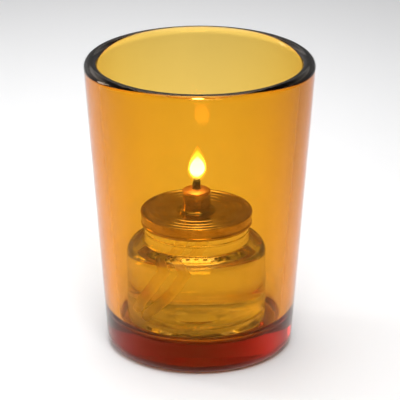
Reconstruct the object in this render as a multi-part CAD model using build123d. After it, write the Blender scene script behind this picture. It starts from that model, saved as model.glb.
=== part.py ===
"""A tapered amber glass tealight holder with a small liquid fuel cell standing in it.

Millimetres, +Z up. The origin is the middle of the glass's base, on the surface that it stands on.
The fuel cell's pieces are drawn about the cell's own axis, with heights measured from the cell's
base, and are then set down on the floor of the glass.
"""

import os
from math import pi, radians, tan

from build123d import *

# Glass
GLASS_HEIGHT = 92.0
GLASS_TOP_RADIUS = 35.15
GLASS_BASE_RADIUS = 28.6
GLASS_WALL = 4.2
GLASS_FLOOR = 8.5
RIM_ROUND = 2.0
GLASS_HEEL_ROUND = 4.2
INNER_FLOOR_ROUND = 5.0
BEARING_RING_INNER = 20.6
RECESS_SLOPE = 1.6
BASE_RECESS = 0.8

# Where the fuel cell stands in the glass
CELL_X = -1.0
CELL_Y = -0.8
CELL_GAP = 0.05

# Fuel bottle
JAR_RADIUS = 21.5
JAR_WALL = 1.6
JAR_HEEL_ROUND = 3.2
JAR_FOOT_INNER = 14.6
FOOT_SLOPE = 1.4
JAR_FLOOR = 3.6
JAR_FLOOR_RISE = 0.5
FLOOR_BEND = 6.5
FLOOR_DIP = 0.5
INNER_HEEL_ROUND = 4.0
PUSH_UP = 1.3
DIMPLE_RADIUS = 4.8
DIMPLE_DEPTH = 0.9
SHOULDER_CORNER = 25.6
SHOULDER_ROUND = 3.0
SHOULDER_WALL = 1.8
INNER_SHOULDER_ROUND = 2.4
NECK_RADIUS = 16.0
NECK_CORNER = 26.5
INNER_NECK_ROUND = 1.2
NECK_BEAD_HEIGHT = 29.8
NECK_BEAD_SIZE = 0.25
NECK_BEAD_HALF_WIDTH = 0.4
LIP_RADIUS = 16.35
LIP_TOP = 34.8
LIP_HEIGHT = 1.5
MOUTH_RADIUS = 14.4
STIPPLE_RINGS = {7.6: 20, 9.4: 26, 11.2: 30}
STIPPLE_DOT = 0.42

# Oil
OIL_LEVEL = 31.2
OIL_GAP = 0.05

# Cap and its liner
CAP_SHEET = 0.35
CAP_RADIUS = 17.2
SKIRT_RADIUS = 16.8
CURL_BOTTOM = 31.9
CURL_ROUND = 0.45
LINER_THICKNESS = 0.6
LINER_INNER = 13.6
LINER_OUTER = 16.1
PLATE_TOP = LIP_TOP + LINER_THICKNESS + CAP_SHEET
EDGE_BEAD_HEIGHT = 0.3
EDGE_BEAD_WIDTH = 1.0
RING_RADII = (9.8, 12.3, 14.3)
RING_WIDTH = 0.8
RING_HEIGHT = 0.12
CAP_HOLE = 4.45

# Wick tube
TUBE_RADIUS = 4.35
TUBE_SHEET = 0.4
TUBE_TOP = 42.3
DOME_RISE = 0.6
FLANGE_RADIUS = 5.85
FLANGE_ROUND = 0.9
FOOT_RADIUS = 5.1
FOOT_DROP = 0.9
WICK_HOLE = 1.35

# Wicks
BURNER_RADIUS = 1.25
BURNER_TIP = 46.05
WICK_JOIN = 37.8
FEEDER_RADIUS = 1.3
FEEDER_LEFT_ROUTE = [
    (-1.5, 0.0, WICK_JOIN),
    (-1.7, -0.1, 32.6),
    (-2.8, -0.4, 27.4),
    (-4.8, -0.5, 22.4),
    (-7.0, -0.6, 17.4),
    (-9.2, -0.8, 12.6),
    (-11.8, -1.6, 8.3),
    (-14.2, -4.4, 5.4),
]
FEEDER_RIGHT_ROUTE = [
    (1.5, 0.0, WICK_JOIN),
    (1.8, -0.1, 32.4),
    (1.3, -0.3, 27.0),
    (-0.6, -0.5, 21.9),
    (-2.6, -0.6, 16.9),
    (-4.6, -0.9, 12.0),
    (-7.3, -1.8, 7.9),
    (-10.3, -4.2, 5.5),
    (-12.4, -7.6, 4.95),
    (-13.2, -11.0, 5.2),
]


def outline(corners):
    """A closed outline in the XZ plane, from corners given as (radius, height, rounding)."""
    points = [(radius, height) for radius, height, _ in corners]
    roundings = [rounding for _, _, rounding in corners]
    return Plane.XZ * FilletPolyline(*points, radius=roundings, close=True)


def turned(corners):
    """The solid made by turning an outline round the upright axis."""
    return revolve(make_face(outline(corners)), Axis.Z)


def votive_glass():
    """The tumbler: one pressed piece with a tapered wall, a fire-rounded rim and a thick base."""
    taper = (GLASS_TOP_RADIUS - GLASS_BASE_RADIUS) / GLASS_HEIGHT
    inner_floor_radius = GLASS_BASE_RADIUS + taper * GLASS_FLOOR - GLASS_WALL
    return turned(
        [
            (0, BASE_RECESS, 0),
            (BEARING_RING_INNER - RECESS_SLOPE, BASE_RECESS, 1.2),
            (BEARING_RING_INNER, 0, 0.5),
            (GLASS_BASE_RADIUS, 0, GLASS_HEEL_ROUND),
            (GLASS_TOP_RADIUS, GLASS_HEIGHT, RIM_ROUND),
            (GLASS_TOP_RADIUS - GLASS_WALL, GLASS_HEIGHT, RIM_ROUND),
            (inner_floor_radius, GLASS_FLOOR, INNER_FLOOR_ROUND),
            (0, GLASS_FLOOR, 0),
        ]
    )


def jar_cavity(gap):
    """The corners of the bottle's inside below its neck, drawn in by a gap all round."""
    wall = JAR_RADIUS - JAR_WALL - gap
    under_shoulder = SHOULDER_WALL + gap
    return [
        (wall - FLOOR_BEND, JAR_FLOOR + gap, 4),
        (wall, JAR_FLOOR - FLOOR_DIP + gap, INNER_HEEL_ROUND - gap),
        (wall, SHOULDER_CORNER - under_shoulder, INNER_SHOULDER_ROUND - gap),
        (MOUTH_RADIUS - gap, NECK_CORNER - under_shoulder, INNER_NECK_ROUND + gap),
    ]


def stipple_dot(radius, angle):
    """One low round dot under the bottle's base."""
    return Rot(Z=angle) * Pos(radius, 0, PUSH_UP + 0.1) * Sphere(STIPPLE_DOT)


def fuel_jar():
    """The bottle: round heel, pushed-up base with a dimple, near-flat shoulder and a beaded neck."""
    lip_bottom = LIP_TOP - LIP_HEIGHT
    bead_low = NECK_BEAD_HEIGHT - NECK_BEAD_HALF_WIDTH
    bead_high = NECK_BEAD_HEIGHT + NECK_BEAD_HALF_WIDTH
    bead_radius = NECK_RADIUS + NECK_BEAD_SIZE
    body = turned(
        [
            (0, PUSH_UP + DIMPLE_DEPTH, 0),
            (DIMPLE_RADIUS - 0.4, PUSH_UP + DIMPLE_DEPTH, 0.4),
            (DIMPLE_RADIUS, PUSH_UP + 0.1, 0.2),
            (JAR_FOOT_INNER - FOOT_SLOPE, PUSH_UP - 0.2, 0.8),
            (JAR_FOOT_INNER, 0, 0.8),
            (JAR_RADIUS, 0, JAR_HEEL_ROUND),
            (JAR_RADIUS, SHOULDER_CORNER, SHOULDER_ROUND),
            (NECK_RADIUS, NECK_CORNER, 0.9),
            (NECK_RADIUS, bead_low, 0.2),
            (bead_radius, bead_low + NECK_BEAD_SIZE, 0.1),
            (bead_radius, bead_high - NECK_BEAD_SIZE, 0.1),
            (NECK_RADIUS, bead_high, 0.2),
            (NECK_RADIUS, lip_bottom - 0.5, 0.3),
            (LIP_RADIUS, lip_bottom, 0.3),
            (LIP_RADIUS, LIP_TOP, 0.5),
            (MOUTH_RADIUS, LIP_TOP, 0.4),
            *reversed(jar_cavity(0)),
            (0, JAR_FLOOR + JAR_FLOOR_RISE, 0),
        ]
    )
    dots = [
        stipple_dot(radius, 360 / count * number)
        for radius, count in STIPPLE_RINGS.items()
        for number in range(count)
    ]
    return body + dots


def lamp_oil():
    """The liquid, filling the bottle up into its neck."""
    cavity = turned(
        [
            (0, JAR_FLOOR + JAR_FLOOR_RISE + OIL_GAP, 0),
            *jar_cavity(OIL_GAP),
            (MOUTH_RADIUS - OIL_GAP, LIP_TOP, 0),
            (0, LIP_TOP, 0),
        ]
    )
    align_low = (Align.CENTER, Align.CENTER, Align.MIN)
    return cavity & Cylinder(JAR_RADIUS, OIL_LEVEL, align=align_low)


def cap_ring(radius):
    """The corners of one fine raised ring on the cap's top plate, from the outside in."""
    half = RING_WIDTH / 2
    crest = PLATE_TOP + RING_HEIGHT
    return [
        (radius + half, PLATE_TOP, 0.1),
        (radius + half / 2, crest, 0.1),
        (radius - half / 2, crest, 0.1),
        (radius - half, PLATE_TOP, 0.1),
    ]


def jar_cap():
    """The stamped cap: flat ringed plate, raised edge bead, short skirt and a curl under the lip."""
    plate_bottom = PLATE_TOP - CAP_SHEET
    bead_top = PLATE_TOP + EDGE_BEAD_HEIGHT
    curl_top = CURL_BOTTOM + 2 * CURL_ROUND
    curl_outer = SKIRT_RADIUS + 0.25
    curl_inner = curl_outer - 2 * CURL_ROUND
    rings = [corner for radius in reversed(RING_RADII) for corner in cap_ring(radius)]
    return turned(
        [
            (CAP_HOLE, plate_bottom, 0),
            (SKIRT_RADIUS - CAP_SHEET, plate_bottom, 0.3),
            (SKIRT_RADIUS - CAP_SHEET, curl_top, 0.1),
            (curl_inner, curl_top - 0.1, 0.2),
            (curl_inner, CURL_BOTTOM, 0.4),
            (curl_outer, CURL_BOTTOM, 0.4),
            (curl_outer, curl_top - 0.1, 0.3),
            (SKIRT_RADIUS, curl_top + 0.2, 0.4),
            (CAP_RADIUS, PLATE_TOP - 0.3, 0.3),
            (CAP_RADIUS, bead_top, 0.3),
            (CAP_RADIUS - EDGE_BEAD_WIDTH + 0.2, bead_top, 0.3),
            (CAP_RADIUS - EDGE_BEAD_WIDTH - 0.3, PLATE_TOP, 0.3),
            *rings,
            (CAP_HOLE, PLATE_TOP, 0),
        ]
    )


def cap_liner():
    """The flat sealing ring between the cap's plate and the bottle's lip."""
    return turned(
        [
            (LINER_INNER, LIP_TOP, 0),
            (LINER_OUTER, LIP_TOP, 0),
            (LINER_OUTER, LIP_TOP + LINER_THICKNESS, 0),
            (LINER_INNER, LIP_TOP + LINER_THICKNESS, 0),
        ]
    )


def wick_tube():
    """The drawn ferrule: flange on the cap, tube, domed top with the wick's hole, rolled foot."""
    bore = TUBE_RADIUS - TUBE_SHEET
    flange_top = PLATE_TOP + TUBE_SHEET
    plate_bottom = PLATE_TOP - CAP_SHEET
    foot_bottom = plate_bottom - FOOT_DROP
    dome_top = TUBE_TOP + DOME_RISE
    return turned(
        [
            (bore, foot_bottom, 0.15),
            (FOOT_RADIUS, foot_bottom, 0.2),
            (FOOT_RADIUS, foot_bottom + TUBE_SHEET, 0.15),
            (TUBE_RADIUS, plate_bottom - 0.2, 0.1),
            (TUBE_RADIUS, PLATE_TOP, 0),
            (FLANGE_RADIUS, PLATE_TOP, 0.15),
            (FLANGE_RADIUS, flange_top, 0.15),
            (TUBE_RADIUS, flange_top, FLANGE_ROUND),
            (TUBE_RADIUS, TUBE_TOP, 0.6),
            (WICK_HOLE, dome_top, 0.1),
            (WICK_HOLE, dome_top - TUBE_SHEET, 0.1),
            (bore, TUBE_TOP - TUBE_SHEET, 0.3),
        ]
    )


def burner_wick():
    """The thin braided wick that comes up through the ferrule's hole."""
    return turned(
        [
            (0, WICK_JOIN, 0),
            (BURNER_RADIUS, WICK_JOIN, 0.1),
            (BURNER_RADIUS, BURNER_TIP - 0.4, 0.9),
            (0.35, BURNER_TIP, 0.2),
            (0, BURNER_TIP, 0),
        ]
    )


def feeder(name, route):
    """A soft wick strand: straight runs joined by tangent arcs as large as the runs allow."""
    points = [Vector(*point) for point in route]
    runs = [after - before for before, after in zip(points, points[1:])]
    half_turns = [radians(a.get_angle(b)) / 2 for a, b in zip(runs, runs[1:])]
    shorter = [min(a.length, b.length) for a, b in zip(runs, runs[1:])]
    radii = [0.45 * run / tan(half) for run, half in zip(shorter, half_turns)]
    path = FilletPolyline(*points, radius=radii)
    section = Plane(origin=path @ 0, z_dir=path % 0) * Circle(FEEDER_RADIUS)
    strand = sweep(section, path=path)
    expected = pi * FEEDER_RADIUS**2 * path.length
    print(name, "length", round(path.length, 2), "volume ratio", round(strand.volume / expected, 4))
    print(name, "arc radii", [round(radius, 1) for radius in radii])
    return strand


def cell_pieces():
    """The fuel cell's pieces by name, about the cell's own axis and from its own base."""
    return {
        "fuel_jar": fuel_jar(),
        "lamp_oil": lamp_oil(),
        "jar_cap": jar_cap(),
        "cap_liner": cap_liner(),
        "wick_tube": wick_tube(),
        "burner_wick": burner_wick(),
        "feeder_left": feeder("feeder_left", FEEDER_LEFT_ROUTE),
        "feeder_right": feeder("feeder_right", FEEDER_RIGHT_ROUTE),
    }


os.makedirs("parts", exist_ok=True)
export_step(votive_glass(), "parts/votive_glass.step")
cell_place = Pos(CELL_X, CELL_Y, GLASS_FLOOR + CELL_GAP)
for name, shape in cell_pieces().items():
    export_step(cell_place * shape, f"parts/{name}.step")
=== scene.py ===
"""A tapered amber glass tealight holder with a lit liquid fuel cell standing in it.

Everything is in metres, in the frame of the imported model: +Z up, the origin in the middle of the
glass's base. The camera stands in front, on the -Y side, and looks slightly down.
"""

import math

import bmesh
import bpy
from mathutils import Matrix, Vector, noise


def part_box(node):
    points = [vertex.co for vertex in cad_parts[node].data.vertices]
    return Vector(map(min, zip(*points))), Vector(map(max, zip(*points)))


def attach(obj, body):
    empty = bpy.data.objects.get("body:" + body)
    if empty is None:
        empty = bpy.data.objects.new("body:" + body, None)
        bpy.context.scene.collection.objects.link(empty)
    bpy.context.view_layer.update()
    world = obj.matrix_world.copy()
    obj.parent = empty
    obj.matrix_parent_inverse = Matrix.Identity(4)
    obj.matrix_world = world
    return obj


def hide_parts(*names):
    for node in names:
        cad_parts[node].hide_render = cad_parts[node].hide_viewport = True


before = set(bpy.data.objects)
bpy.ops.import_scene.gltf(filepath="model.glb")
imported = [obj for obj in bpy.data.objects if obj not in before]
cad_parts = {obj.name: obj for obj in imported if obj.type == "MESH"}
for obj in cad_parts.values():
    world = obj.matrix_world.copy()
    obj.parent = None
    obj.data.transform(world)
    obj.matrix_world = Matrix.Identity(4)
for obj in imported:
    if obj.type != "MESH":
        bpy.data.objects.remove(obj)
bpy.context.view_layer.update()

MM = 0.001

# Where the CAD pieces stand
GLASS_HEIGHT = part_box("votive_glass")[1][2]
JAR_LOW, JAR_HIGH = (Vector(corner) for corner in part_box("fuel_jar"))
CELL_X = (JAR_LOW.x + JAR_HIGH.x) / 2
CELL_Y = (JAR_LOW.y + JAR_HIGH.y) / 2
CELL_BASE = JAR_LOW.z
WICK_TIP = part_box("burner_wick")[1][2]
TUBE_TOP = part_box("wick_tube")[1][2]


# ---------------------------------------------------------------- meshes


def new_object(name, mesh):
    """A new object for a mesh, in the scene."""
    piece = bpy.data.objects.new(name, mesh)
    bpy.context.scene.collection.objects.link(piece)
    return piece


def rounded(corners, step=math.radians(6)):
    """Points of a closed outline in (radius, height), from corners given as (radius, height, rounding).

    A rounded corner becomes an arc, and a corner without rounding stays one point. The points near each end
    of a straight run, which keep the smooth shading of an arc from spreading over the run, come from
    with_supports.
    """
    points = []
    count = len(corners)
    for number, (radius, height, rounding) in enumerate(corners):
        here = Vector((radius, height))
        before = (Vector(corners[number - 1][:2]) - here).normalized()
        after = (Vector(corners[(number + 1) % count][:2]) - here).normalized()
        opening = before.angle(after)
        if not rounding:
            points.append(here)
            continue
        reach = rounding / math.tan(opening / 2)
        turn = math.pi - opening
        steps = max(3, math.ceil(turn / step))
        centre = here + (before + after).normalized() * rounding / math.sin(opening / 2)
        start = here + before * reach - centre
        side = math.copysign(1, start.x * (here - centre).y - start.y * (here - centre).x)
        for number_on_arc in range(steps + 1):
            angle = side * turn * number_on_arc / steps
            points.append(centre + Vector((start.x * math.cos(angle) - start.y * math.sin(angle),
                                           start.x * math.sin(angle) + start.y * math.cos(angle))))
    return points


def with_supports(points, near=0.35 * MM, longest=2.5 * MM, fine=None):
    """The same outline with long runs divided, and with a point close to each end of a run.

    fine(here, there) may give a shorter spacing for one run, or nothing.
    """
    result = []
    for here, there in zip(points, points[1:] + points[:1]):
        run = there - here
        result.append(here)
        if here.x < 1e-7 and there.x < 1e-7:
            continue
        spacing = fine(here, there) if fine else None
        if spacing:
            count = math.ceil(run.length / spacing)
            result += [here.lerp(there, k / count) for k in range(1, count)]
            continue
        if run.length > 4 * near:
            inner = max(1, math.ceil((run.length - 2 * near) / longest))
            along = [near + (run.length - 2 * near) * k / inner for k in range(inner + 1)]
            result += [here + run.normalized() * distance for distance in along]
    return result


def turned(name, corners, centre=(0.0, 0.0), base=0.0, segments=192, wave=None, lift=None, fine=None):
    """A smooth closed piece made by turning an outline, in millimetres, round an upright axis.

    wave(angle, radius, height) may move a point outward by a little, and lift(angle, radius, height)
    may move it up, in metres. fine is as in with_supports.
    """
    outline = with_supports(rounded([(r * MM, z * MM, f * MM) for r, z, f in corners]), fine=fine)
    shape = bmesh.new()
    rings = []
    for point in outline:
        if point.x < 1e-7:
            rings.append([shape.verts.new((centre[0], centre[1], base + point.y))])
            continue
        ring = []
        for number in range(segments):
            angle = 2 * math.pi * number / segments
            radius = point.x + (wave(angle, point.x, point.y) if wave else 0.0)
            height = base + point.y + (lift(angle, point.x, point.y) if lift else 0.0)
            place = (centre[0] + radius * math.cos(angle), centre[1] + radius * math.sin(angle), height)
            ring.append(shape.verts.new(place))
        rings.append(ring)
    for low, high in zip(rings, rings[1:] + rings[:1]):
        if len(low) == 1 and len(high) == 1:
            continue
        for number in range(segments):
            after = (number + 1) % segments
            corners_of_face = [
                low[number % len(low)],
                low[after % len(low)],
                high[after % len(high)],
                high[number % len(high)],
            ]
            shape.faces.new(list(dict.fromkeys(corners_of_face)))
    bmesh.ops.recalc_face_normals(shape, faces=shape.faces)
    mesh = bpy.data.meshes.new(name)
    shape.to_mesh(mesh)
    shape.free()
    for face in mesh.polygons:
        face.use_smooth = True
    return new_object(name, mesh)


# ---------------------------------------------------------------- materials


def material(name):
    """An empty node material: its tree, its output and a Principled shader joined to it."""
    made = bpy.data.materials.new(name)
    made.use_nodes = True
    tree = made.node_tree
    tree.nodes.clear()
    output = tree.nodes.new("ShaderNodeOutputMaterial")
    shader = tree.nodes.new("ShaderNodeBsdfPrincipled")
    tree.links.new(shader.outputs["BSDF"], output.inputs["Surface"])
    return made, tree, output, shader


def node(tree, kind, inputs=None, **settings):
    """A new node with its settings, and with inputs given as values or as the sockets to join."""
    made = tree.nodes.new(kind)
    for key, value in settings.items():
        setattr(made, key, value)
    for key, value in (inputs or {}).items():
        if isinstance(value, bpy.types.NodeSocket):
            tree.links.new(value, made.inputs[key])
        else:
            made.inputs[key].default_value = value
    return made


def place_of(tree):
    """The output that gives a point's place on the object, in metres."""
    return node(tree, "ShaderNodeTexCoord").outputs["Object"]


def noise_of(tree, scale, detail=3.0, roughness=0.5, stretch=(1, 1, 1)):
    """Noise over the object, with about scale features in a metre."""
    mapping = node(tree, "ShaderNodeMapping", {"Vector": place_of(tree), "Scale": stretch})
    return node(tree, "ShaderNodeTexNoise", {
        "Vector": mapping.outputs["Vector"], "Scale": scale, "Detail": detail, "Roughness": roughness,
    })


def ramp(tree, factor, stops, interpolation="LINEAR"):
    """A colour ramp with stops given as (place, colour)."""
    made = node(tree, "ShaderNodeValToRGB", {"Fac": factor})
    made.color_ramp.interpolation = interpolation
    elements = made.color_ramp.elements
    while len(elements) < len(stops):
        elements.new(0.5)
    for element, (place, colour) in zip(elements, stops):
        element.position = place
        element.color = (*colour, 1)
    return made.outputs["Color"]


def spread(tree, factor, low, high):
    """A number between low and high, from one between 0 and 1."""
    made = node(tree, "ShaderNodeMapRange", {"Value": factor, "To Min": low, "To Max": high})
    return made.outputs["Result"]


def bump(tree, height, strength, distance):
    """A bump's normal from a height."""
    made = node(tree, "ShaderNodeBump", {"Height": height, "Strength": strength, "Distance": distance})
    return made.outputs["Normal"]


def absorption(tree, output, per_metre):
    """Makes the inside of a piece take light off, by so much a metre in red, green and blue."""
    most = max(per_metre)
    volume = node(tree, "ShaderNodeVolumeAbsorption", {
        "Color": (*[1 - take / most for take in per_metre], 1), "Density": most,
    })
    tree.links.new(volume.outputs["Volume"], output.inputs["Volume"])


def glass_material(name, ior, per_metre, ripple, ripple_size, smear, gloss=(1, 1, 1, 1)):
    """Clear glass: a faint ripple in its surface, faint smears in its gloss, and colour by depth."""
    made, tree, output, shader = material(name)
    shader.inputs["Specular Tint"].default_value = gloss
    shader.inputs["Transmission Weight"].default_value = 1.0
    shader.inputs["IOR"].default_value = ior
    waves = noise_of(tree, 1 / ripple_size, detail=1.5)
    marks = noise_of(tree, 90, detail=4.0, stretch=(1, 1, 0.35))
    tint = ramp(tree, marks.outputs["Fac"], [(0.3, (0.97, 0.97, 0.97)), (0.75, (1.0, 1.0, 1.0))])
    tree.links.new(tint, shader.inputs["Base Color"])
    tree.links.new(spread(tree, marks.outputs["Fac"], 0.0, smear), shader.inputs["Roughness"])
    tree.links.new(bump(tree, waves.outputs["Fac"], 1.0, ripple), shader.inputs["Normal"])
    absorption(tree, output, per_metre)
    return made


def brass_material(name, dark, light, roughness, flame_glow_heights=None):
    """Plated sheet: satin, with mottled tarnish and fine scratches.

    The last argument gives two heights between which the colour turns to a painted orange glow, the flame's
    light painted on, and the surface grows duller.
    """
    made, tree, output, shader = material(name)
    mottle = noise_of(tree, 260, detail=6.0, roughness=0.6)
    grain = noise_of(tree, 2400, detail=2.0)
    colour = ramp(tree, mottle.outputs["Fac"], [(0.3, dark), (0.7, light)])
    low, high = roughness
    dullness = spread(tree, mottle.outputs["Fac"], low, high)
    if flame_glow_heights:
        # Painted flame glow: orange mixed in by height towards the tube's top, standing in for the flame's
        # light on it.
        place = node(tree, "ShaderNodeSeparateXYZ", {"Vector": place_of(tree)})
        painted_glow = node(tree, "ShaderNodeMapRange", {
            "Value": place.outputs["Z"], "From Min": flame_glow_heights[0], "From Max": flame_glow_heights[1],
        }).outputs["Result"]
        mix = node(tree, "ShaderNodeMix", data_type="RGBA")
        tree.links.new(painted_glow, mix.inputs["Factor"])
        tree.links.new(colour, mix.inputs[6])
        mix.inputs[7].default_value = (0.80, 0.38, 0.16, 1)
        colour = mix.outputs[2]
        dull = node(tree, "ShaderNodeMath", {0: painted_glow, 1: 0.32, 2: dullness}, operation="MULTIPLY_ADD")
        dullness = dull.outputs["Value"]
    tree.links.new(colour, shader.inputs["Base Color"])
    shader.inputs["Metallic"].default_value = 1.0
    tree.links.new(dullness, shader.inputs["Roughness"])
    tree.links.new(bump(tree, grain.outputs["Fac"], 0.25, 0.02 * MM), shader.inputs["Normal"])
    return made


def wick_material(name, stops, length_axis_low, length_axis_high):
    """Braided fibre, with its colour set by height between two levels and broken up by noise."""
    made, tree, output, shader = material(name)
    place = node(tree, "ShaderNodeSeparateXYZ", {"Vector": place_of(tree)})
    height = node(tree, "ShaderNodeMapRange", {
        "Value": place.outputs["Z"], "From Min": length_axis_low, "From Max": length_axis_high,
    })
    fibres = noise_of(tree, 1800, detail=3.0)
    shift = spread(tree, fibres.outputs["Fac"], -0.12, 0.12)
    mixed = node(tree, "ShaderNodeMath", {0: height.outputs["Result"], 1: shift}, operation="ADD")
    tree.links.new(ramp(tree, mixed.outputs["Value"], stops), shader.inputs["Base Color"])
    shader.inputs["Roughness"].default_value = 0.85
    tree.links.new(bump(tree, fibres.outputs["Fac"], 0.6, 0.1 * MM), shader.inputs["Normal"])
    return made


def plain_material(name, dark, light, roughness, scale):
    """A matt surface with a little colour variation."""
    made, tree, output, shader = material(name)
    mottle = noise_of(tree, scale, detail=3.0)
    colour = ramp(tree, mottle.outputs["Fac"], [(0.3, dark), (0.7, light)])
    tree.links.new(colour, shader.inputs["Base Color"])
    shader.inputs["Roughness"].default_value = roughness
    return made


def glow_material(name, strength, stops, low, high):
    """Flame: light that is coloured, and fades to clear, by height. A stop is (place, colour, cover)."""
    made = bpy.data.materials.new(name)
    made.use_nodes = True
    tree = made.node_tree
    tree.nodes.clear()
    output = tree.nodes.new("ShaderNodeOutputMaterial")
    place = node(tree, "ShaderNodeSeparateXYZ", {"Vector": place_of(tree)})
    height = node(tree, "ShaderNodeMapRange", {
        "Value": place.outputs["Z"], "From Min": low, "From Max": high,
    }).outputs["Result"]
    colour = ramp(tree, height, [(at, shade) for at, shade, _ in stops])
    cover = ramp(tree, height, [(at, (share,) * 3) for at, _, share in stops])
    light = node(tree, "ShaderNodeEmission", {"Color": colour, "Strength": strength})
    clear = node(tree, "ShaderNodeBsdfTransparent")
    mix = node(tree, "ShaderNodeMixShader", {
        0: cover, 1: clear.outputs["BSDF"], 2: light.outputs["Emission"],
    })
    tree.links.new(mix.outputs["Shader"], output.inputs["Surface"])
    return made


# ---------------------------------------------------------------- the glass


GLASS_TOP_RADIUS = 35.15
GLASS_BASE_RADIUS = 28.6
GLASS_WALL = 4.2
GLASS_FLOOR = 8.5
INNER_FLOOR_ROUND = 5.0
GLASS_HEEL_ROUND = 4.2
RIM_ROUND = 2.0
BEARING_RING = 20.6
BEARING_ROUND = 0.5
BASE_RECESS = 0.8
RECESS_SLOPE = 1.6
RECESS_ROUND = 1.2
WAVE_DEPTH = 0.05
WAVE_TURN = 1.6
WAVE_LENGTH = 30
GLASS_IOR = 1.5
AMBER = (27.0, 122.0, 490.0)  # light taken off by a metre of the glass, in red, green and blue
AMBER_GLOSS = (0.6, 0.32, 0.07, 1.0)


def votive_glass():
    """The pressed tumbler, with the slight unevenness of pressed glass."""
    height = GLASS_HEIGHT / MM
    taper = (GLASS_TOP_RADIUS - GLASS_BASE_RADIUS) / height
    inner_floor = GLASS_BASE_RADIUS + taper * GLASS_FLOOR - GLASS_WALL
    corners = [
        (0, BASE_RECESS, 0),
        (BEARING_RING - RECESS_SLOPE, BASE_RECESS, RECESS_ROUND),
        (BEARING_RING, 0, BEARING_ROUND),
        (GLASS_BASE_RADIUS, 0, GLASS_HEEL_ROUND),
        (GLASS_TOP_RADIUS, height, RIM_ROUND),
        (GLASS_TOP_RADIUS - GLASS_WALL, height, RIM_ROUND),
        (inner_floor, GLASS_FLOOR, INNER_FLOOR_ROUND),
        (0, GLASS_FLOOR, 0),
    ]

    def wave(angle, radius, level):
        turn = Vector((math.cos(angle), math.sin(angle), 0)) * WAVE_TURN
        return noise.noise(turn + Vector((0, 0, level / MM / WAVE_LENGTH))) * WAVE_DEPTH * MM

    piece = turned("amber_glass", corners, segments=256, wave=wave)
    piece.data.materials.append(
        glass_material("amber_glass", GLASS_IOR, AMBER, 0.02 * MM, 9 * MM, 0.03, gloss=AMBER_GLOSS)
    )
    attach(piece, "glass")
    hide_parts("votive_glass")


# ---------------------------------------------------------------- the fuel cell


JAR_RADIUS = 21.5
JAR_WALL = 1.6
JAR_HEEL_ROUND = 3.2
JAR_FLOOR = 3.6
JAR_FLOOR_RISE = 0.5
FLOOR_BEND = 6.5
FLOOR_DIP = 0.5
INNER_HEEL_ROUND = 4.0
PUSH_UP = 1.3
DIMPLE_RADIUS = 4.8
DIMPLE_DEPTH = 0.9
SHOULDER_CORNER = 25.6
SHOULDER_ROUND = 3.0
SHOULDER_WALL = 1.8
NECK_RADIUS = 16.0
NECK_CORNER = 26.5
NECK_BEAD = 29.8
LIP_RADIUS = 16.35
LIP_TOP = 34.8
MOUTH_RADIUS = 14.4
OIL_LEVEL = 31.2
OIL_INTO_GLASS = 0.03
STIPPLE_RINGS = {7.6: 20, 9.4: 26, 11.2: 30}
STIPPLE_DOT = 0.5
STIPPLE_DEPTH = 0.32
STIPPLE_BAND = (6.5, 12.5)
STIPPLE_ABOVE = PUSH_UP + 0.3
STIPPLE_SPACING = 0.16
SEAT_INNER = 13.2
SEAT_OUTER = 14.6
BEAD_SIZE = 0.25
BEAD_HALF_WIDTH = 0.4
BEAD_HALF_FLAT = 0.15
LIP_HEIGHT = 2.0
LIP_STEP = 0.5
MENISCUS_RISE = 0.6
MENISCUS_WIDTH = 1.2
OIL_IOR = 1.45
BOTTLE_TINT = (1.5, 1.0, 1.5)
OIL_TINT = (0.6, 1.0, 5.0)


def jar_cavity(out):
    """The corners of the bottle's inside below its neck, moved outward all round."""
    wall = JAR_RADIUS - JAR_WALL + out
    return [
        (wall - FLOOR_BEND, JAR_FLOOR - out, 4),
        (wall, JAR_FLOOR - FLOOR_DIP - out, INNER_HEEL_ROUND + out),
        (wall, SHOULDER_CORNER - SHOULDER_WALL + out, SHOULDER_ROUND - 0.6 + out),
        (MOUTH_RADIUS + out, NECK_CORNER - SHOULDER_WALL + out, 1.2 - out),
    ]


def stipple(angle, radius, height):
    """How far the low round dots under the bottle's base come down from it at a point."""
    inner, outer = STIPPLE_BAND
    if height > STIPPLE_ABOVE * MM or not inner * MM < radius < outer * MM:
        return 0.0
    nearest = min(STIPPLE_RINGS, key=lambda ring: abs(ring * MM - radius))
    step = 2 * math.pi / STIPPLE_RINGS[nearest]
    around = (angle + step / 2) % step - step / 2
    away = math.hypot(radius - nearest * MM, around * radius) / (STIPPLE_DOT * MM)
    return -STIPPLE_DEPTH * MM * math.sqrt(max(0.0, 1 - away * away))


def stipple_spacing(here, there):
    """A fine spacing for the part of the bottle's outline that carries the dots."""
    low = STIPPLE_ABOVE * MM
    nearer, further = sorted((here.x, there.x))
    if max(here.y, there.y) < low and nearer > 4 * MM and further < 13 * MM:
        return STIPPLE_SPACING * MM
    return None


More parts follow.
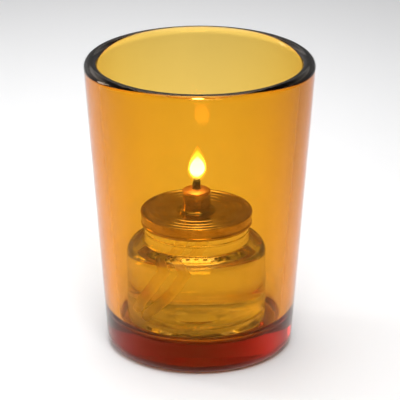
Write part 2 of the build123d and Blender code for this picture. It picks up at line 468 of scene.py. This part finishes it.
def fuel_jar():
    """The clear bottle."""
    corners = [
        (0, PUSH_UP + DIMPLE_DEPTH, 0),
        (DIMPLE_RADIUS - 0.4, PUSH_UP + DIMPLE_DEPTH, 0.4),
        (DIMPLE_RADIUS, PUSH_UP + 0.1, 0.2),
        (SEAT_INNER, PUSH_UP - 0.2, 0.8),
        (SEAT_OUTER, 0, 0.8),
        (JAR_RADIUS, 0, JAR_HEEL_ROUND),
        (JAR_RADIUS, SHOULDER_CORNER, SHOULDER_ROUND),
        (NECK_RADIUS, NECK_CORNER, 0.9),
        (NECK_RADIUS, NECK_BEAD - BEAD_HALF_WIDTH, 0.2),
        (NECK_RADIUS + BEAD_SIZE, NECK_BEAD - BEAD_HALF_FLAT, 0.15),
        (NECK_RADIUS + BEAD_SIZE, NECK_BEAD + BEAD_HALF_FLAT, 0.15),
        (NECK_RADIUS, NECK_BEAD + BEAD_HALF_WIDTH, 0.2),
        (NECK_RADIUS, LIP_TOP - LIP_HEIGHT, 0.3),
        (LIP_RADIUS, LIP_TOP - LIP_HEIGHT + LIP_STEP, 0.3),
        (LIP_RADIUS, LIP_TOP, 0.5),
        (MOUTH_RADIUS, LIP_TOP, 0.4),
        *reversed(jar_cavity(0)),
        (0, JAR_FLOOR + JAR_FLOOR_RISE, 0),
    ]
    piece = turned(
        "clear_bottle", corners, centre=(CELL_X, CELL_Y), base=CELL_BASE, segments=384,
        lift=stipple, fine=stipple_spacing,
    )
    piece.data.materials.append(
        glass_material("bottle_glass", GLASS_IOR, BOTTLE_TINT, 0.015 * MM, 6 * MM, 0.03)
    )
    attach(piece, "fuel_cell")
    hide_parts("fuel_jar")


def lamp_oil():
    """The oil. It reaches a hair into the bottle, so that light passes straight across."""
    out = OIL_INTO_GLASS
    neck = MOUTH_RADIUS + out
    corners = [
        (0, JAR_FLOOR + JAR_FLOOR_RISE - out, 0),
        *jar_cavity(out),
        (neck, OIL_LEVEL + MENISCUS_RISE, 0.1),
        (neck - MENISCUS_WIDTH, OIL_LEVEL, 1.1),
        (0, OIL_LEVEL, 0),
    ]
    piece = turned("oil", corners, centre=(CELL_X, CELL_Y), base=CELL_BASE)
    piece.data.materials.append(glass_material("oil", OIL_IOR, OIL_TINT, 0.0, 20 * MM, 0.0))
    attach(piece, "fuel_cell")
    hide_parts("lamp_oil")


WICK_JOIN = 37.8
FEEDER_DIAMETER = 2.6
FEEDER_LEFT_ROUTE = [
    (-1.5, 0.0, WICK_JOIN),
    (-1.7, -0.1, 32.6),
    (-2.8, -0.4, 27.4),
    (-4.8, -0.5, 22.4),
    (-7.0, -0.6, 17.4),
    (-9.2, -0.8, 12.6),
    (-11.8, -1.6, 8.3),
    (-14.2, -4.4, 5.4),
]
FEEDER_RIGHT_ROUTE = [
    (1.5, 0.0, WICK_JOIN),
    (1.8, -0.1, 32.4),
    (1.3, -0.3, 27.0),
    (-0.6, -0.5, 21.9),
    (-2.6, -0.6, 16.9),
    (-4.6, -0.9, 12.0),
    (-7.3, -1.8, 7.9),
    (-10.3, -4.2, 5.5),
    (-12.4, -7.6, 4.95),
    (-13.2, -11.0, 5.2),
]


def route_line(name, route, resolution=24):
    """Points along the smooth NURBS line of a route given in the cell's own millimetres."""
    curve = bpy.data.curves.new(name, "CURVE")
    curve.dimensions = "3D"
    curve.resolution_u = resolution
    spline = curve.splines.new("NURBS")
    spline.points.add(len(route) - 1)
    for point, (x, y, z) in zip(spline.points, route):
        point.co = (CELL_X + x * MM, CELL_Y + y * MM, CELL_BASE + z * MM, 1)
    spline.order_u = 3
    spline.use_endpoint_u = True
    holder = new_object(name, curve)
    bpy.context.view_layer.update()
    mesh = bpy.data.meshes.new_from_object(holder.evaluated_get(bpy.context.evaluated_depsgraph_get()))
    points = [vertex.co.copy() for vertex in mesh.vertices]
    bpy.data.objects.remove(holder)
    bpy.data.meshes.remove(mesh)
    bpy.data.curves.remove(curve)
    return points


def evenly(points, spacing):
    """The same line with points a set distance apart."""
    lengths = [0.0]
    for before, after in zip(points, points[1:]):
        lengths.append(lengths[-1] + (after - before).length)
    count = max(2, round(lengths[-1] / spacing))
    result, number = [], 0
    for k in range(count + 1):
        target = lengths[-1] * k / count
        while number < len(lengths) - 2 and lengths[number + 1] < target:
            number += 1
        share = (target - lengths[number]) / max(lengths[number + 1] - lengths[number], 1e-12)
        result.append(points[number].lerp(points[number + 1], min(max(share, 0), 1)))
    return result, lengths[-1]


def braided_tube(name, points, radius, strands=4, pitch=5 * MM, relief=0.14 * MM, sides=40, seed=1):
    """A round braid along a line: two sets of strands that cross, with fine unevenness."""
    shape = bmesh.new()
    rings = []
    direction = (points[1] - points[0]).normalized()
    side = direction.orthogonal().normalized()
    travelled = 0.0
    for number, point in enumerate(points):
        ahead = points[min(number + 1, len(points) - 1)] - points[max(number - 1, 0)]
        turn = direction.rotation_difference(ahead.normalized())
        side = turn @ side
        direction = ahead.normalized()
        across = direction.cross(side)
        if number:
            travelled += (point - points[number - 1]).length
        ring = []
        for k in range(sides):
            angle = 2 * math.pi * k / sides
            twist = 2 * math.pi * travelled / pitch
            one = abs(math.cos(strands * (angle + twist) / 2))
            other = abs(math.cos(strands * (angle - twist) / 2))
            fuzz = noise.noise(Vector((angle * 3, travelled / MM * 2.2, seed * 7.3)))
            grown = radius - relief + relief * (max(one, other) ** 0.6) + fuzz * 0.06 * MM
            ring.append(shape.verts.new(point + (side * math.cos(angle) + across * math.sin(angle)) * grown))
        rings.append(ring)
    for low, high in zip(rings, rings[1:]):
        for k in range(sides):
            after = (k + 1) % sides
            shape.faces.new((low[k], low[after], high[after], high[k]))
    for ring, inward in ((rings[0], -1), (rings[-1], 1)):
        middle = sum((vertex.co for vertex in ring), Vector()) / sides
        cap = shape.verts.new(middle)
        for k in range(sides):
            shape.faces.new((ring[k], ring[(k + 1) % sides], cap))
    bmesh.ops.recalc_face_normals(shape, faces=shape.faces)
    mesh = bpy.data.meshes.new(name)
    shape.to_mesh(mesh)
    shape.free()
    for face in mesh.polygons:
        face.use_smooth = True
    return new_object(name, mesh)


def feeder_wicks():
    """The two soft strands that hang from the wick tube and lie along the bottle's floor."""
    cotton = wick_material(
        "cotton", [(0.0, (1.0, 0.89, 0.66)), (1.0, (1.0, 0.92, 0.74))], CELL_BASE, CELL_BASE + 30 * MM
    )
    soaked = next(part for part in cotton.node_tree.nodes if part.type == "BSDF_PRINCIPLED")
    soaked.inputs["Transmission Weight"].default_value = 1.0
    soaked.inputs["Roughness"].default_value = 0.45
    soaked.inputs["IOR"].default_value = 1.05
    for seed, (side, route) in enumerate({"left": FEEDER_LEFT_ROUTE, "right": FEEDER_RIGHT_ROUTE}.items()):
        points, length = evenly(route_line(f"route_{side}", route), 0.25 * MM)
        piece = braided_tube(f"feeder_wick_{side}", points, FEEDER_DIAMETER * MM / 2, seed=seed + 1)
        piece.data.materials.append(cotton)
        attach(piece, "fuel_cell")
        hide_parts(f"feeder_{side}")


BURNER_RADIUS = 1.22
BURNER_LEAN = (1.1, -0.4)
FRAYED_LENGTH = 2.6


def burner_wick():
    """The thin charred wick, with a ragged tip that leans a little."""
    low = CELL_BASE + WICK_JOIN * MM
    steps = 60
    points = []
    for number in range(steps + 1):
        share = number / steps
        height = low + (WICK_TIP - 0.25 * MM - low) * share
        lean = max(0.0, share - 0.55) ** 2
        lean_x, lean_y = (reach * MM * lean for reach in BURNER_LEAN)
        points.append(Vector((CELL_X + lean_x, CELL_Y + lean_y, height)))
    piece = braided_tube(
        "charred_wick", points, BURNER_RADIUS * MM, strands=3, pitch=3 * MM, relief=0.1 * MM, seed=5
    )
    for vertex in piece.data.vertices:
        above = vertex.co.z - (WICK_TIP - FRAYED_LENGTH * MM)
        if above > 0:
            share = above / (FRAYED_LENGTH * MM)
            ragged = noise.noise(vertex.co / (0.5 * MM)) * 0.22 * MM * share
            outward = Vector((vertex.co.x - CELL_X, vertex.co.y - CELL_Y, 0))
            vertex.co += outward.normalized() * ragged if outward.length > 1e-6 else Vector()
            vertex.co -= outward * 0.35 * share * share
    char = wick_material(
        "char",
        [(0.0, (0.55, 0.48, 0.38)), (0.35, (0.16, 0.10, 0.06)), (0.7, (0.025, 0.02, 0.018))],
        TUBE_TOP - 1.0 * MM,
        WICK_TIP,
    )
    piece.data.materials.append(char)
    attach(piece, "fuel_cell")
    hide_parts("burner_wick")


def flame_shell(name, low, high, width, fullest, stops, strength):
    """One layer of the flame: a drop shape between two heights, with its widest place given as a share."""
    shape = bmesh.new()
    rings = []
    steps, segments = 40, 48
    for number in range(steps + 1):
        share = number / steps
        if share < fullest:
            size = math.sin(math.pi / 2 * share / fullest) ** 0.7
        else:
            size = math.cos(math.pi / 2 * (share - fullest) / (1 - fullest)) ** 1.15
        size = max(size, 0.0) * width
        height = low + (high - low) * share
        drift = 0.35 * MM * math.sin(2.2 * share)
        if size < 1e-6:
            rings.append([shape.verts.new((CELL_X + drift, CELL_Y, height))])
            continue
        rings.append([
            shape.verts.new((CELL_X + drift + size * math.cos(a), CELL_Y + size * math.sin(a), height))
            for a in (2 * math.pi * k / segments for k in range(segments))
        ])
    for below, above in zip(rings, rings[1:]):
        for k in range(segments):
            after = (k + 1) % segments
            loop = [
                below[k % len(below)],
                below[after % len(below)],
                above[after % len(above)],
                above[k % len(above)],
            ]
            shape.faces.new(list(dict.fromkeys(loop)))
    bmesh.ops.recalc_face_normals(shape, faces=shape.faces)
    mesh = bpy.data.meshes.new(name)
    shape.to_mesh(mesh)
    shape.free()
    for face in mesh.polygons:
        face.use_smooth = True
    piece = new_object(name, mesh)
    piece.data.materials.append(glow_material(name, strength, stops, low, high))
    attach(piece, "fuel_cell")


def flame():
    """The flame: a white core in a yellow mantle, with an orange tip and a faint, clear base."""
    base = WICK_TIP - 1.6 * MM
    white, yellow, orange = (1.0, 0.88, 0.84), (1.0, 0.72, 0.22), (1.0, 0.38, 0.05)
    flame_shell(
        "flame_mantle", base, base + 12.4 * MM, 2.9 * MM, 0.36,
        [
            (0.0, yellow, 0.0), (0.3, yellow, 0.12), (0.6, yellow, 0.2),
            (0.85, orange, 0.3), (1.0, orange, 0.0),
        ], 3.0,
    )
    flame_shell(
        "flame_body", base + 1.0 * MM, base + 11.0 * MM, 2.6 * MM, 0.4,
        [(0.0, yellow, 0.05), (0.25, yellow, 0.25), (0.6, yellow, 0.35), (1.0, orange, 0.1)], 8.0,
    )
    flame_shell(
        "flame_core", base + 1.9 * MM, base + 9.0 * MM, 2.25 * MM, 0.4,
        [(0.0, white, 0.05), (0.3, white, 1.0), (0.75, white, 0.95), (1.0, yellow, 0.2)], 14.0,
    )


def dress_cad_nodes():
    """Materials for the pieces that keep their CAD shape."""
    looks = {
        "jar_cap": brass_material("cap_brass", (0.38, 0.24, 0.085), (0.56, 0.38, 0.15), (0.17, 0.27)),
        "wick_tube": brass_material(
            "tube_brass", (0.20, 0.125, 0.045), (0.36, 0.24, 0.09), (0.07, 0.14),
            # Painted flame glow on the tube's top, between these two heights.
            flame_glow_heights=(TUBE_TOP - 1.6 * MM, TUBE_TOP - 0.5 * MM),
        ),
        "cap_liner": plain_material("liner_foam", (0.72, 0.70, 0.64), (0.80, 0.78, 0.72), 0.8, 900),
    }
    for name, look in looks.items():
        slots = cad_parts[name].data.materials
        slots.clear()
        slots.append(look)


# ---------------------------------------------------------------- studio


CAMERA_TILT = math.radians(21.44)
CAMERA_DISTANCE = 0.7875
CAMERA_TARGET = Vector((0.0001, 0.0, 0.0464))
CAMERA_LENS = 230.4
SENSOR = 36.0


def camera():
    """The camera, slightly above and far off, with a long lens."""
    made = bpy.data.cameras.new("camera")
    made.lens = CAMERA_LENS
    made.sensor_width = SENSOR
    made.clip_end = 20.0
    holder = new_object("camera", made)
    back = Vector((0, -math.cos(CAMERA_TILT), math.sin(CAMERA_TILT)))
    holder.location = CAMERA_TARGET + back * CAMERA_DISTANCE
    holder.rotation_euler = (math.pi / 2 - CAMERA_TILT, 0, 0)
    bpy.context.scene.camera = holder


def area_light(name, place, aim, size, power, spread_angle=math.pi):
    """A soft rectangular light at place, turned towards aim, in a beam of so wide an angle."""
    made = bpy.data.lights.new(name, "AREA")
    made.shape = "RECTANGLE"
    made.size, made.size_y = size
    made.energy = power
    made.spread = spread_angle
    holder = new_object(name, made)
    holder.location = place
    holder.rotation_euler = (Vector(aim) - Vector(place)).to_track_quat("-Z", "Y").to_euler()


def studio():
    """A white table, soft lights, and a surround that is brightest in a low band to the sides."""
    bpy.ops.mesh.primitive_circle_add(vertices=96, radius=3.0, fill_type="NGON", location=(0, 0, -0.0002))
    table = bpy.context.object
    table.name = "table"
    table.data.materials.append(plain_material("table", (0.86, 0.86, 0.86), (0.88, 0.88, 0.88), 0.7, 3))
    world = bpy.data.worlds.new("surround")
    bpy.context.scene.world = world
    world.use_nodes = True
    tree = world.node_tree
    tree.nodes.clear()
    output = tree.nodes.new("ShaderNodeOutputWorld")
    way = node(tree, "ShaderNodeTexCoord").outputs["Generated"]
    parts = node(tree, "ShaderNodeSeparateXYZ", {"Vector": way}).outputs
    shade = ramp(tree, parts["Z"], [
        (0.0, (0.34, 0.34, 0.35)), (0.12, (0.42, 0.42, 0.43)), (0.335, (0.42, 0.42, 0.43)),
        (0.365, (1.2, 1.2, 1.2)), (0.43, (1.2, 1.2, 1.2)), (0.47, (0.75, 0.75, 0.75)),
        (0.52, (0.75, 0.75, 0.75)), (0.62, (0.12, 0.12, 0.13)),
    ])
    across = node(tree, "ShaderNodeMapRange", {"Value": parts["X"], "From Min": -1.0}).outputs["Result"]
    sides = ramp(tree, across, [
        (0.0, (0.9,) * 3), (0.2, (1.7,) * 3), (0.36, (0.8,) * 3), (0.5, (0.5,) * 3),
        (0.64, (0.55,) * 3), (0.8, (0.75,) * 3), (1.0, (0.7,) * 3),
    ])
    background = node(tree, "ShaderNodeBackground", {"Color": shade, "Strength": sides})
    tree.links.new(background.outputs["Background"], output.inputs["Surface"])
    wide, narrow = math.radians(120), math.radians(70)
    area_light("overhead", (-0.02, 0.12, 0.32), (-0.02, 0.13, 0), (0.22, 0.46), 0.52, wide)
    area_light("left", (-0.45, 0.16, 0.22), (0, 0, 0.02), (0.08, 0.25), 0.5)
    area_light("front", (0.06, -0.45, 0.50), (0, -0.10, 0), (0.3, 0.3), 0.5, narrow)


def view():
    """Colour as it is, and enough bounces for glass within glass."""
    scene = bpy.context.scene
    scene.view_settings.view_transform = "Standard"
    cycles = scene.cycles
    cycles.max_bounces = 24
    cycles.transmission_bounces = 24
    cycles.glossy_bounces = 8
    cycles.diffuse_bounces = 4
    cycles.transparent_max_bounces = 24


camera()
studio()
view()
votive_glass()
fuel_jar()
lamp_oil()
feeder_wicks()
burner_wick()
flame()
dress_cad_nodes()
